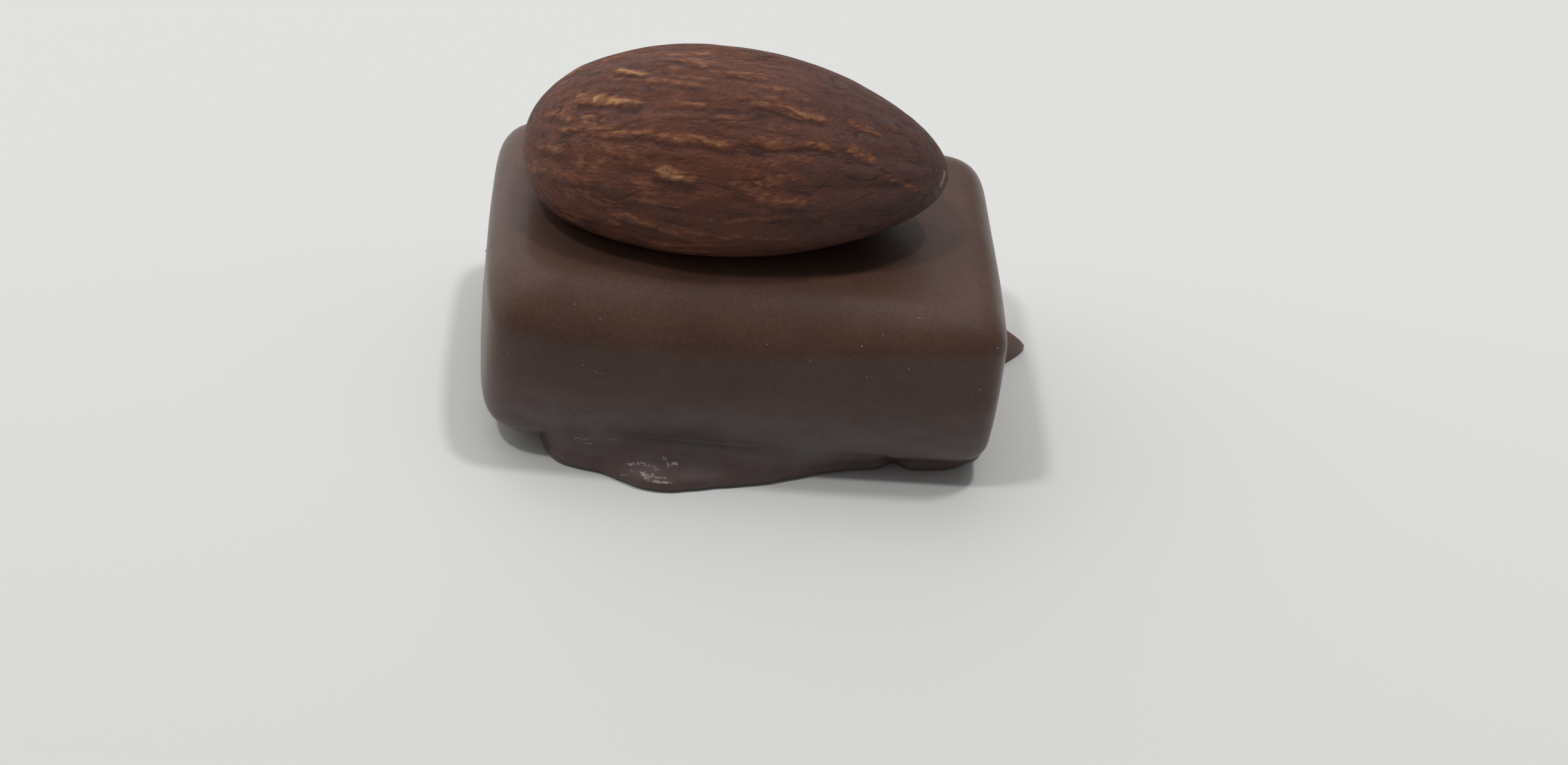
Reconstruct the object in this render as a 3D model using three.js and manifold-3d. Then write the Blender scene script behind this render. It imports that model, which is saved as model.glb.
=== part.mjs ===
// A praline: a milk chocolate block with a thin run-out foot and a pulled spur, all one solid,
// and a whole almond kernel that lies in a shallow seat on its top.
// Millimetres. +X runs along the block towards the almond's tip, -Y is the front, +Z is up.
import * as THREE from 'three';
import Module from 'manifold-3d';

const wasm = await Module();
wasm.setup();

// Block
const BLOCK_LENGTH = 28.0;
const BLOCK_WIDTH = 18.35;
const BLOCK_HEIGHT = 10.5;
const TOP_DOME = 0.3;
const SIDE_BULGE = { front: 0.25, back: 0.15, left: 0.4, right: 0.08 };
const WALL_TAPER = { front: 0.3, back: 0.12, left: 0.12, right: 0.12 };
const WALL_WAVE = { height: 0.05, alongX: 2.6, alongY: 2.1, lean: 0.55 };
const CORE_INSET = 5.0;
const CORNER_POWER = { frontRight: 7.0, backRight: 4.7, backLeft: 4.7, frontLeft: 4.7 };
const UNDER_RADIUS = { front: 3.0, back: 2.4, left: 4.6, right: 1.8 };
const UNDER_POWER = { front: 3.3, back: 3.3, left: 5.0, right: 3.3 };
const UNDER_Z_LEFT = 0.85;
const UNDER_Z_RIGHT = 1.14;
const TOP_RADIUS = { front: 3.0, frontRight: 1.3, back: 1.85, left: 1.9, right: 1.8 };
const FRONT_EDGE_STRETCH = 1.4;
const FRONT_EDGE_SHARPENS = { fromX: -1, toX: 14 };

// Foot: how far its rim lies outside the block's widest outline, and where it runs out or tucks in.
// FOOT_EDGE climbs from the sole: [offset from the rim, height]. Where the foot is tucked in, the
// block overhangs a narrow neck; where it runs out, the neck is high and shallow and leans.
const FOOT_OFFSET = -2.31;
const FOOT_EDGE = [[-0.35, 0], [-0.08, 0.1], [0, 0.32], [-0.1, 0.6]];
const FOOT_HOLLOW = { out: 0.25, down: 0.62 };
const NECK_STEP = 0.2;
const RUNOUT = { startOffset: -1.6, fullOffset: 0.6, neckInset: 0, neckZ: 2.05, lean: 74 };
const FOOT_LOBES = [
  { x: -12.4, y: -8.2, amount: -0.5, width: 2.0 },
  { x: -9.6, y: -9.65, amount: 1.85, width: 2.2 },
  { x: -5.2, y: -9.65, amount: 3.44, width: 3.8 },
  { x: 0.4, y: -9.65, amount: 3.1, width: 5.0 },
  { x: 8.5, y: -9.65, amount: 1.16, width: 5.5 },
  { x: 9.0, y: -9.65, amount: -1.05, width: 0.65 },
  { x: 13.4, y: -5.15, amount: 2.25, width: 3.2 },
  { x: 14.0, y: 2.55, amount: 2.0, width: 5.5 },
  { x: 4.0, y: 9.65, amount: 1.4, width: 8.0 },
  { x: -9.0, y: 9.65, amount: 0.8, width: 5.0 },
];

// Spur: a peaked tail drawn out from the right-hand end, just clear of the ground
const SPUR_ROOT = { x: 12.0, y: 2.45, halfWidth: 3.8, height: 4.0 };
const SPUR_TIP = { x: 17.55, y: 3.55, halfWidth: 0.08, height: 0.3 };
const SPUR_Z = 0.06;
const SPUR_FULLNESS = 0.8;
const SPUR_SECTION = [[-1, 0], [-0.78, 0.62], [0.06, 1], [0.55, 0.52], [1, 0]];

// Almond kernel: blunt end at -X, tip at +X
const ALMOND_LENGTH = 23.2;
const ALMOND_WIDTH = 13.8;
const ALMOND_THICKNESS = 9.75;
const ALMOND_BLUNT = 0.44;
const ALMOND_POINT = 0.575;
const ALMOND_BEND = 0.76;
const ALMOND_CENTRE = [-1.22, 0.45];
const ALMOND_TURN = -1.9;
const ALMOND_RISE = 2.1;
const ALMOND_ROLL = 3.1;
const ALMOND_SINK = 1.66;
const RIDGE_HEIGHT = 0.09;
const RIDGE_FADE = { blunt: 0.12, point: 0.1 };
const RIDGE_WAVES = [
  { count: 11, phase: 0.4, sway: 1.3, pitch: 5.1 },
  { count: 17, phase: 2.1, sway: 0.9, pitch: 8.3 },
  { count: 14, phase: 4.4, sway: 1.1, pitch: 6.7 },
];
const SEAT_GAP = 0.2;

// Facets
const LONG_CELLS = 30;
const SHORT_CELLS = 20;
const CORNER_CELLS = 6;
const FOOT_STEPS = 3;
const UNDER_STEPS = 6;
const WALL_STEPS = 3;
const TOP_STEPS = 7;
const SPUR_STEPS = 6;
const ALMOND_FACETS = { rings: 32, sectors: 72 };
const SEAT_FACETS = { rings: 28, sectors: 44 };
// Slivers thinner than this, left where the cuts cross, are merged into their neighbours.
const FINEST_SLIVER = 0.004;

const mix = (a, b, t) => a + (b - a) * t;
const bump = (distance, width) => Math.exp(-((distance / width) ** 2));

function smooth(low, high, value) {
  const t = Math.min(Math.max((value - low) / (high - low), 0), 1);
  return t * t * (3 - 2 * t);
}

// How far a corner reaches at an angle from its first side: a superellipse, squarer than a circle.
function cornerReach(turn, power) {
  const sum = Math.abs(Math.cos(turn)) ** power + Math.abs(Math.sin(turn)) ** power;
  return sum ** (-1 / power);
}

// A size that differs from side to side, blended round the corners.
function bySide(size, [nx, ny]) {
  const lengthwise = nx > 0 ? size.right : size.left;
  const crosswise = ny > 0 ? size.back : size.front;
  return lengthwise * nx * nx + crosswise * ny * ny;
}

// Places round the block, anticlockwise from the front right corner, each with its outward direction.
function outlineStations() {
  const a = BLOCK_LENGTH / 2 - CORE_INSET;
  const b = BLOCK_WIDTH / 2 - CORE_INSET;
  const corners = [
    { name: 'frontRight', at: [a, -b], cell: [LONG_CELLS, 0], step: [0, 1], cells: SHORT_CELLS },
    { name: 'backRight', at: [a, b], cell: [LONG_CELLS, SHORT_CELLS], step: [-1, 0], cells: LONG_CELLS },
    { name: 'backLeft', at: [-a, b], cell: [0, SHORT_CELLS], step: [0, -1], cells: SHORT_CELLS },
    { name: 'frontLeft', at: [-a, -b], cell: [0, 0], step: [1, 0], cells: LONG_CELLS },
  ];
  const stations = [];
  corners.forEach((corner, index) => {
    const next = corners[(index + 1) % 4];
    const start = (index - 1) * Math.PI / 2;
    for (let k = 0; k <= CORNER_CELLS; k += 1) {
      const turn = (k / CORNER_CELLS) * Math.PI / 2;
      stations.push({
        core: corner.at,
        normal: [Math.cos(start + turn), Math.sin(start + turn)],
        reach: CORE_INSET * cornerReach(turn, CORNER_POWER[corner.name]),
        cell: corner.cell,
      });
    }
    for (let k = 1; k < corner.cells; k += 1) {
      const t = k / corner.cells;
      stations.push({
        core: [mix(corner.at[0], next.at[0], t), mix(corner.at[1], next.at[1], t)],
        normal: [Math.cos(start + Math.PI / 2), Math.sin(start + Math.PI / 2)],
        reach: CORE_INSET,
        cell: [corner.cell[0] + corner.step[0] * k, corner.cell[1] + corner.step[1] * k],
      });
    }
  });
  return stations;
}

// The block's gentle doming, nothing at its outline.
function domeAt(x, y) {
  const along = 1 - Math.min((2 * x / BLOCK_LENGTH) ** 2, 1);
  const across = 1 - Math.min((2 * y / BLOCK_WIDTH) ** 2, 1);
  return TOP_DOME * along * across;
}

// Slow unevenness of the poured coating.
function waveAt(x, y, z) {
  const long = Math.sin(x / WALL_WAVE.alongX + WALL_WAVE.lean * z);
  const short = Math.cos(y / WALL_WAVE.alongY - WALL_WAVE.lean * z);
  return WALL_WAVE.height * (long + short) / 2;
}

function footOffset(x, y) {
  let offset = FOOT_OFFSET;
  for (const lobe of FOOT_LOBES) {
    offset += lobe.amount * bump(Math.hypot(x - lobe.x, y - lobe.y), lobe.width);
  }
  return offset;
}

// Height and depth of the rounding between the walls and the top: softest at the front left.
function topRounding(x, normal) {
  const sharp = smooth(FRONT_EDGE_SHARPENS.fromX, FRONT_EDGE_SHARPENS.toX, x);
  const front = mix(TOP_RADIUS.front, TOP_RADIUS.frontRight, sharp);
  const height = bySide({ ...TOP_RADIUS, front }, normal);
  const depth = bySide({ ...TOP_RADIUS, front: front * FRONT_EDGE_STRETCH }, normal);
  return { height, depth };
}

// How far a wall swells out between its corners.
function bulgeAt(x, y, normal) {
  const [nx, ny] = normal;
  const long = (ny < 0 ? SIDE_BULGE.front : SIDE_BULGE.back) * Math.cos(Math.PI * x / BLOCK_LENGTH);
  const short = (nx < 0 ? SIDE_BULGE.left : SIDE_BULGE.right) * Math.cos(Math.PI * y / BLOCK_WIDTH);
  return Math.abs(ny) * long + Math.abs(nx) * short;
}

// One station's profile from the underside of the foot to the rim of the top: [offset, height] pairs.
function blockProfile(station) {
  const { core, normal, reach } = station;
  const x = core[0] + normal[0] * reach;
  const y = core[1] + normal[1] * reach;
  const rim = footOffset(x, y);
  const run = smooth(RUNOUT.startOffset, RUNOUT.fullOffset, rim);
  const neck = -mix(NECK_STEP - rim, RUNOUT.neckInset, run);
  const neckZ = mix(mix(UNDER_Z_LEFT, UNDER_Z_RIGHT, x / BLOCK_LENGTH + 0.5), RUNOUT.neckZ, run);
  const lean = run * THREE.MathUtils.degToRad(RUNOUT.lean);
  const edge = topRounding(x, normal);
  const shoulderZ = BLOCK_HEIGHT - edge.height;
  const bellyZ = UNDER_Z_LEFT + bySide(UNDER_RADIUS, normal);
  const bulge = bulgeAt(x, y, normal);
  const taper = (z) => bySide(WALL_TAPER, normal) * ((z - bellyZ) / (BLOCK_HEIGHT - bellyZ)) ** 2;
  const profile = FOOT_EDGE.map(([out, z]) => [rim + out, z]);
  // The foot's upper side: a hollow curve from its edge up to the neck.
  const [lip, lipZ] = profile[profile.length - 1];
  const flare = new THREE.QuadraticBezierCurve(
    new THREE.Vector2(lip, lipZ),
    new THREE.Vector2(mix(neck, rim, FOOT_HOLLOW.out), mix(neckZ, lipZ, FOOT_HOLLOW.down)),
    new THREE.Vector2(neck, neckZ),
  );
  for (let k = 1; k <= FOOT_STEPS; k += 1) {
    profile.push(flare.getPoint(k / FOOT_STEPS).toArray());
  }
  // The block's lower rounding, from the neck out to the belly: squarer than a circle.
  const power = bySide(UNDER_POWER, normal);
  const rise = (turn) => Math.sin(turn) ** (2 / power);
  const fall = (turn) => Math.cos(turn) ** (2 / power);
  for (let k = 1; k <= UNDER_STEPS; k += 1) {
    const t = k / UNDER_STEPS;
    const turn = mix(lean, Math.PI / 2, t);
    const out = neck * (1 - rise(turn)) / (1 - rise(lean)) + bulge * t;
    profile.push([out, mix(bellyZ, neckZ, fall(turn) / fall(lean))]);
  }
  for (let k = 1; k < WALL_STEPS; k += 1) {
    const z = mix(bellyZ, shoulderZ, k / WALL_STEPS);
    profile.push([bulge - taper(z), z]);
  }
  for (let k = 0; k <= TOP_STEPS; k += 1) {
    const turn = (k / TOP_STEPS) * Math.PI / 2;
    const z = shoulderZ + edge.height * Math.sin(turn);
    const inward = taper(z) + edge.depth * (1 - Math.cos(turn));
    profile.push([bulge * Math.cos(turn) - inward, z]);
  }
  return profile;
}

function pointOnBlock(station, [offset, z]) {
  const { core, normal, reach } = station;
  const level = smooth(UNDER_Z_LEFT, BLOCK_HEIGHT / 3, z);
  const share = 1 + offset / CORE_INSET;
  const x = core[0] + normal[0] * reach * share;
  const y = core[1] + normal[1] * reach * share;
  const wave = level * waveAt(x, y, z);
  const raised = smooth(BLOCK_HEIGHT / 2, BLOCK_HEIGHT, z) * domeAt(x, y);
  return [x + normal[0] * wave, y + normal[1] * wave, z + raised];
}

function makeSolid(points, triangles) {
  return new wasm.Manifold(new wasm.Mesh({
    numProp: 3,
    vertProperties: new Float32Array(points.flat()),
    triVerts: new Uint32Array(triangles.flat()),
  }));
}

// Two triangles between neighbouring points of a lower and an upper loop.
function band(triangles, lower, lowerNext, upper, upperNext) {
  triangles.push([lower, lowerNext, upperNext]);
  if (upper !== upperNext) {
    triangles.push([lower, upperNext, upper]);
  }
}

function makeBlock() {
  const stations = outlineStations();
  const count = stations.length;
  const profiles = stations.map(blockProfile);
  const loops = profiles[0].length;
  const points = [];
  const triangles = [];
  for (let loop = 0; loop < loops; loop += 1) {
    stations.forEach((station, i) => points.push(pointOnBlock(station, profiles[i][loop])));
  }
  for (let loop = 0; loop + 1 < loops; loop += 1) {
    for (let i = 0; i < count; i += 1) {
      const lower = loop * count;
      const next = (i + 1) % count;
      band(triangles, lower + i, lower + next, lower + count + i, lower + count + next);
    }
  }
  // The top inside the rounding: a grid over the core rectangle, joined to the last loop.
  const grid = points.length;
  const gridIndex = ([i, j]) => grid + j * (LONG_CELLS + 1) + i;
  for (let j = 0; j <= SHORT_CELLS; j += 1) {
    for (let i = 0; i <= LONG_CELLS; i += 1) {
      const x = (i / LONG_CELLS - 0.5) * (BLOCK_LENGTH - 2 * CORE_INSET);
      const y = (j / SHORT_CELLS - 0.5) * (BLOCK_WIDTH - 2 * CORE_INSET);
      points.push([x, y, BLOCK_HEIGHT + domeAt(x, y)]);
    }
  }
  for (let i = 0; i < count; i += 1) {
    const next = (i + 1) % count;
    const lower = (loops - 1) * count;
    const inner = gridIndex(stations[i].cell);
    band(triangles, lower + i, lower + next, inner, gridIndex(stations[next].cell));
  }
  for (let j = 0; j < SHORT_CELLS; j += 1) {
    for (let i = 0; i < LONG_CELLS; i += 1) {
      const near = [gridIndex([i, j]), gridIndex([i + 1, j])];
      band(triangles, near[0], near[1], gridIndex([i, j + 1]), gridIndex([i + 1, j + 1]));
    }
  }
  const underside = points.slice(0, count).map(([x, y]) => new THREE.Vector2(x, y));
  for (const [p, q, r] of THREE.ShapeUtils.triangulateShape(underside, [])) {
    triangles.push([p, r, q]);
  }
  return makeSolid(points, triangles);
}

function makeSpur() {
  const steps = SPUR_STEPS;
  const count = SPUR_SECTION.length;
  const points = [];
  const triangles = [];
  for (let k = 0; k <= steps; k += 1) {
    const t = k / steps;
    const waist = 1 - (1 - t) ** SPUR_FULLNESS;
    const halfWidth = mix(SPUR_ROOT.halfWidth, SPUR_TIP.halfWidth, waist);
    const height = mix(SPUR_ROOT.height, SPUR_TIP.height, waist);
    for (const [side, up] of SPUR_SECTION) {
      const y = mix(SPUR_ROOT.y, SPUR_TIP.y, t) + side * halfWidth;
      points.push([mix(SPUR_ROOT.x, SPUR_TIP.x, t), y, SPUR_Z + up * height]);
    }
  }
  for (let k = 0; k < steps; k += 1) {
    for (let i = 0; i < count; i += 1) {
      const next = (i + 1) % count;
      band(triangles, k * count + next, k * count + i, (k + 1) * count + next, (k + 1) * count + i);
    }
  }
  for (let i = 1; i + 1 < count; i += 1) {
    triangles.push([0, i, i + 1]);
    triangles.push([steps * count, steps * count + i + 1, steps * count + i]);
  }
  return makeSolid(points, triangles);
}

// Half-width of the kernel along its length, 1 at the widest place.
function almondShare(s) {
  const widest = ALMOND_BLUNT / (ALMOND_BLUNT + ALMOND_POINT);
  return (s / widest) ** ALMOND_BLUNT * ((1 - s) / (1 - widest)) ** ALMOND_POINT;
}

// Long wandering ridges of the skin, fading out at both ends.
function ridgeAt(s, angle) {
  let height = 0;
  for (const wave of RIDGE_WAVES) {
    height += Math.cos(wave.count * angle + wave.phase + wave.sway * Math.sin(wave.pitch * s));
  }
  const fade = smooth(0, RIDGE_FADE.blunt, s) * smooth(0, RIDGE_FADE.point, 1 - s);
  return RIDGE_HEIGHT * fade * height / RIDGE_WAVES.length;
}

// A point of the kernel lying level round the origin, `grow` outside its mean skin.
function almondPoint(s, angle, grow, relief) {
  const share = almondShare(s);
  const bend = ALMOND_BEND * (1 - (2 * s - 1) ** 2);
  return new THREE.Vector3(
    (s - 0.5) * (ALMOND_LENGTH + 2 * grow),
    (share * (ALMOND_WIDTH / 2 + grow) + relief) * Math.cos(angle) + bend,
    (share * (ALMOND_THICKNESS / 2 + grow) + relief) * Math.sin(angle),
  );
}

// Points of the kernel round the origin: its blunt end, its rings and its tip.
function almondPoints({ rings, sectors }, grow, ridged) {
  const points = [almondPoint(0, 0, grow, 0)];
  for (let k = 1; k < rings; k += 1) {
    const s = (1 - Math.cos((k / rings) * Math.PI)) / 2;
    for (let i = 0; i < sectors; i += 1) {
      const angle = (i / sectors) * Math.PI * 2;
      points.push(almondPoint(s, angle, grow, ridged ? ridgeAt(s, angle) : 0));
    }
  }
  points.push(almondPoint(1, 0, grow, 0));
  return points;
}

// Turns the level kernel and sets it down on the block, sunk a little into the top.
function almondPlacing() {
  const placing = new THREE.Matrix4()
    .makeRotationZ(THREE.MathUtils.degToRad(ALMOND_TURN))
    .multiply(new THREE.Matrix4().makeRotationY(THREE.MathUtils.degToRad(-ALMOND_RISE)))
    .multiply(new THREE.Matrix4().makeRotationX(THREE.MathUtils.degToRad(ALMOND_ROLL)));
  const turned = almondPoints(ALMOND_FACETS, 0, false).map((point) => point.applyMatrix4(placing));
  const lowest = new THREE.Box3().setFromPoints(turned).min.z;
  const [x, y] = ALMOND_CENTRE;
  return placing.setPosition(x, y, BLOCK_HEIGHT + TOP_DOME - ALMOND_SINK - lowest);
}

function makeAlmond(facets, grow, ridged) {
  const { rings, sectors } = facets;
  const placing = almondPlacing();
  const placed = almondPoints(facets, grow, ridged).map((point) => point.applyMatrix4(placing));
  const last = placed.length - 1;
  const triangles = [];
  for (let i = 0; i < sectors; i += 1) {
    const next = (i + 1) % sectors;
    triangles.push([0, 1 + next, 1 + i]);
    triangles.push([last, last - sectors + i, last - sectors + next]);
    for (let k = 0; k + 2 < rings; k += 1) {
      const ring = 1 + k * sectors;
      band(triangles, ring + i, ring + next, ring + sectors + i, ring + sectors + next);
    }
  }
  return makeSolid(placed.map((point) => point.toArray()), triangles);
}

function meshOf(name, solid, material) {
  const { vertProperties, triVerts } = solid.getMesh();
  const geometry = new THREE.BufferGeometry();
  geometry.setAttribute('position', new THREE.BufferAttribute(vertProperties, 3));
  geometry.setIndex(new THREE.BufferAttribute(triVerts, 1));
  geometry.computeVertexNormals();
  const mesh = new THREE.Mesh(geometry, material);
  mesh.name = name;
  return mesh;
}

const seat = makeAlmond(SEAT_FACETS, SEAT_GAP + RIDGE_HEIGHT, false);
const chocolate = makeBlock().add(makeSpur()).subtract(seat).simplify(FINEST_SLIVER);
const almond = makeAlmond(ALMOND_FACETS, 0, true);

const milkChocolate = new THREE.MeshStandardMaterial({ color: 0x4a3a33, roughness: 0.4, metalness: 0 });
const almondSkin = new THREE.MeshStandardMaterial({ color: 0x6b4330, roughness: 0.6, metalness: 0 });

const praline = new THREE.Group();
praline.name = 'praline';
praline.add(meshOf('chocolate', chocolate, milkChocolate));
praline.add(meshOf('almond', almond, almondSkin));

export default praline;
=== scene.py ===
"""The looks of a praline: a milk chocolate block with a run-out foot and a pulled spur, a whole almond
kernel that lies in its top, and the pale scuffs and crumbs on the chocolate.

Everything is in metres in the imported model's frame. Sizes are named in millimetres and turned with MM.
"""
import math

import bmesh
import bpy
import numpy as np
from mathutils import Matrix, Vector, noise
from mathutils.bvhtree import BVHTree


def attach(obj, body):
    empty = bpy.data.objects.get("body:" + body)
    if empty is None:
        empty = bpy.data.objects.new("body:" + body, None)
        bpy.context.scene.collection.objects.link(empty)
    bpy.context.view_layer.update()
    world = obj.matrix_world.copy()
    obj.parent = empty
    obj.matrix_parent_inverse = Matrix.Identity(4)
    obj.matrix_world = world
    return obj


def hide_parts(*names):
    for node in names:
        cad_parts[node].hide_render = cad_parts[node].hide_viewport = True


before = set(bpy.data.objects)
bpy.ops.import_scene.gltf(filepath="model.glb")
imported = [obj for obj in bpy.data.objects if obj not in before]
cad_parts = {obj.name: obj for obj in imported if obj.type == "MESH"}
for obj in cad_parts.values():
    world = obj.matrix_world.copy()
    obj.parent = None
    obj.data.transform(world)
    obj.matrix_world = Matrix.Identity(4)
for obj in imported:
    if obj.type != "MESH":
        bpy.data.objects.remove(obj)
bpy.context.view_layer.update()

MM = 0.001

# Block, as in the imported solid
BLOCK_LENGTH = 28.0
BLOCK_WIDTH = 18.35
BLOCK_HEIGHT = 10.5
TOP_DOME = 0.3
SIDE_BULGE = {"front": 0.25, "back": 0.15, "left": 0.4, "right": 0.08}
WALL_TAPER = {"front": 0.3, "back": 0.12, "left": 0.12, "right": 0.12}
WALL_WAVE = {"height": 0.05, "along_x": 2.6, "along_y": 2.1, "lean": 0.55}
CORE_INSET = 5.0
CORNER_POWER = {"front_right": 7.0, "back_right": 4.7, "back_left": 4.7, "front_left": 4.7}
UNDER_RADIUS = {"front": 3.0, "back": 2.4, "left": 4.6, "right": 1.8}
UNDER_POWER = {"front": 3.3, "back": 3.3, "left": 5.0, "right": 3.3}
UNDER_Z_LEFT = 0.85
UNDER_Z_RIGHT = 1.14
TOP_RADIUS = {"front": 3.0, "front_right": 1.3, "back": 1.85, "left": 1.9, "right": 1.8}
FRONT_EDGE_STRETCH = 1.4
FRONT_EDGE_SHARPENS = {"from_x": -1.0, "to_x": 14.0}

# Foot: how far its rim lies outside the block's widest outline; lobes are x, y, amount and width
FOOT_OFFSET = -2.31
FOOT_EDGE = [(-0.35, 0.0), (-0.08, 0.1), (0.0, 0.32), (-0.1, 0.6)]
FOOT_HOLLOW = {"out": 0.25, "down": 0.62}
NECK_STEP = 0.2
RUNOUT = {"start": -1.6, "full": 0.6, "neck_inset": 0.0, "neck_z": 2.05, "lean": 74.0}
FOOT_LOBES = [
    (-12.4, -8.2, -0.5, 2.0),
    (-9.6, -9.65, 1.85, 2.2),
    (-5.2, -9.65, 3.44, 3.8),
    (0.4, -9.65, 3.1, 5.0),
    (8.5, -9.65, 1.16, 5.5),
    (9.0, -9.65, -1.05, 0.65),
    (13.4, -5.15, 2.25, 3.2),
    (14.0, 2.55, 2.0, 5.5),
    (4.0, 9.65, 1.4, 8.0),
    (-9.0, 9.65, 0.8, 5.0),
]
FOOT_RIPPLE = {"height": 0.06, "length": 0.9}

# Spur, a peaked tail on the right-hand end: x, y, half width and height at its root and its tip
SPUR_ROOT = (12.0, 2.45, 3.8, 4.0)
SPUR_TIP = (17.55, 3.55, 0.08, 0.3)
SPUR_Z = 0.06
SPUR_FULLNESS = 0.8
SPUR_SECTION = [(-1.0, 0.0), (-0.78, 0.62), (0.06, 1.0), (0.55, 0.52), (1.0, 0.0)]

# Almond kernel: blunt end at -X, tip at +X
ALMOND_LENGTH = 23.2
ALMOND_WIDTH = 13.8
ALMOND_THICKNESS = 9.75
ALMOND_BLUNT = 0.44
ALMOND_POINT = 0.575
ALMOND_BEND = 0.76
ALMOND_CENTRE = (-1.22, 0.45)
ALMOND_TURN = -1.9
ALMOND_RISE = 2.1
ALMOND_ROLL = 3.1
ALMOND_SINK = 1.66
RIDGE_HEIGHT = 0.09
RIDGE_FADE = {"blunt": 0.12, "point": 0.1}
RIDGE_WAVES = [(11, 0.4, 1.3, 5.1), (17, 2.1, 0.9, 8.3), (14, 4.4, 1.1, 6.7)]

# Seat in the top: its gap under the kernel, and how near the kernel's ends it goes, in shares of its length
SEAT_GAP = 0.04
KERNEL_END = 1e-4

# Almond skin: the pitch of its unevenness along and round the kernel, and how high it stands. The dark line
# beside a streak, a sunken furrow with painted shade, has place and width in shares of the streak's width
SKIN_TUBE = 5.8
SKIN_NARROWING = 0.75
SKIN_SWAY = {"amount": 0.35, "pitch": (4.0, 2.0, 2.0)}
SKIN_WOBBLE = {"amount": 0.1, "pitch": (1.4, 0.6, 0.6)}
LUMP = {"height": 0.14, "pitch": (5.0, 4.0, 4.0)}
STREAK_PITCH = (3.4, 0.62, 0.62)
STREAK_SHARE = 0.65
THREAD_PITCH = (1.6, 0.36, 0.36)
PATCH_PITCH = (5.0, 2.6, 2.6)
CREST_HEIGHT = 0.055
STREAK_HEIGHT = 0.05
STREAK_END = 0.35
SHADED_GROOVE_PLACE = 1.6
SHADED_GROOVE_WIDTH = 0.7
WRINKLE_DEPTH = 0.035
STREAK_WANDER = {"amount": 0.3, "pitch": (1.6, 1.0, 1.0)}
STREAK_BREAKS = {"amount": 0.45, "pitch": (0.9, 0.35, 0.35), "range": (-0.1, 0.4)}
RUBBED = {"most": 0.6, "crests": (-0.05, 0.32), "patches": (-0.6, 0.25)}
RUBBED_ENDS = {"from": 0.5, "to": 0.85}

# Almond skin colour: the pitch of each pattern along and round the kernel, and where the tip gets duller
SKIN_MASKS = ("pale", "groove_and_shade", "chip")
BODY_PITCH = (3.0, 1.6, 1.6)
BLUSH_PITCH = (1.5, 0.5, 0.5)
TIP_DULL = {"from": 10.0, "to": 21.0, "most": 0.75, "pitch": (0.8, 0.4, 0.4)}
TEAR_PITCH = (0.5, 0.2, 0.2)
TAN_PITCH = (1.0, 0.3, 0.3)
CRACK_PITCH = (4.5, 0.85, 0.85)
CRACK_WIDTH = 0.06
CRACK_BREAK_PITCH = (1.8, 0.7, 0.7)
DUST_PITCH = (0.16, 0.1, 0.1)
SKIN_GLOSS_PITCH = (0.6, 0.3, 0.3)
PIT_PITCH = (0.3, 0.17, 0.17)

# The palest streaks: left and right end in the photograph, width in millimetres, paleness. The chip at the
# kernel's tip is a short line in the photograph too
STREAKS = [
    ((954, 160), (1042, 169), 0.35, 1.2),
    ((1018, 118), (1054, 122), 0.22, 1.1),
    ((1098, 100), (1154, 107), 0.19, 0.7),
    ((1104, 126), (1162, 132), 0.19, 0.6),
    ((1110, 170), (1152, 177), 0.22, 0.7),
    ((1240, 173), (1348, 194), 0.30, 0.9),
    ((970, 211), (1096, 222), 0.32, 0.72),
    ((1110, 226), (1204, 235), 0.30, 0.78),
    ((1236, 231), (1364, 241), 0.26, 0.75),
    ((1403, 203), (1440, 216), 0.23, 0.6),
    ((1400, 245), (1430, 259), 0.27, 0.65),
    ((1466, 211), (1492, 221), 0.20, 0.45),
    ((1082, 278), (1136, 295), 0.38, 1.18),
    ((1210, 305), (1318, 335), 0.35, 0.6),
    ((1454, 291), (1502, 313), 0.30, 0.5),
    ((902, 187), (934, 193), 0.27, 0.8),
    ((916, 284), (958, 296), 0.27, 0.6),
    ((924, 341), (1014, 365), 0.27, 0.55),
    ((954, 315), (1014, 334), 0.27, 0.5),
    ((1022, 353), (1128, 381), 0.30, 0.6),
    ((1122, 384), (1292, 388), 0.20, 0.5),
    ((1328, 351), (1364, 365), 0.24, 0.4),
    ((930, 212), (962, 206), 0.30, 0.8),
    ((1066, 134), (1146, 138), 0.26, 0.75),
    ((1200, 124), (1252, 128), 0.20, 0.8),
    ((1216, 158), (1272, 166), 0.24, 0.65),
    ((1180, 196), (1222, 200), 0.24, 0.6),
    ((890, 238), (916, 246), 0.30, 0.65),
    ((1040, 262), (1076, 270), 0.26, 0.6),
]
TIP_CHIP = {"from": (1552, 284), "to": (1545, 305), "width": 0.1}

# Chocolate surface: pattern sizes in millimetres. The grey veil, fat bloom with a painted reflection of the
# pale floor, changes along an axis: from, to, share at both. The spur is painted paler, as painted light,
# between two places along X
MOTTLE_PITCH = (4.0, 4.0, 3.0)
CRYSTAL_PITCH = (0.2, 0.2, 0.2)
GLOSS_PITCH = (1.6, 1.6, 1.6)
DIMPLE_PITCH = (0.7, 0.7, 0.7)
DIMPLE_DEPTH = 0.003
BLOOM_AND_REFLECTION_PITCH = (2.4, 2.4, 1.2)
BLOOM_AND_REFLECTION_SHARES = [("Z", 2.0, 6.5, 1.0, 0.0), ("Z", 0.4, 2.0, 0.6, 1.0), ("Y", -9.0, 0.0, 1.0, 0.35)]
BLOOM_AND_REFLECTION_COVER = 0.23
SPUR_PAINTED_LIGHT = (14.4, 15.6)

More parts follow.
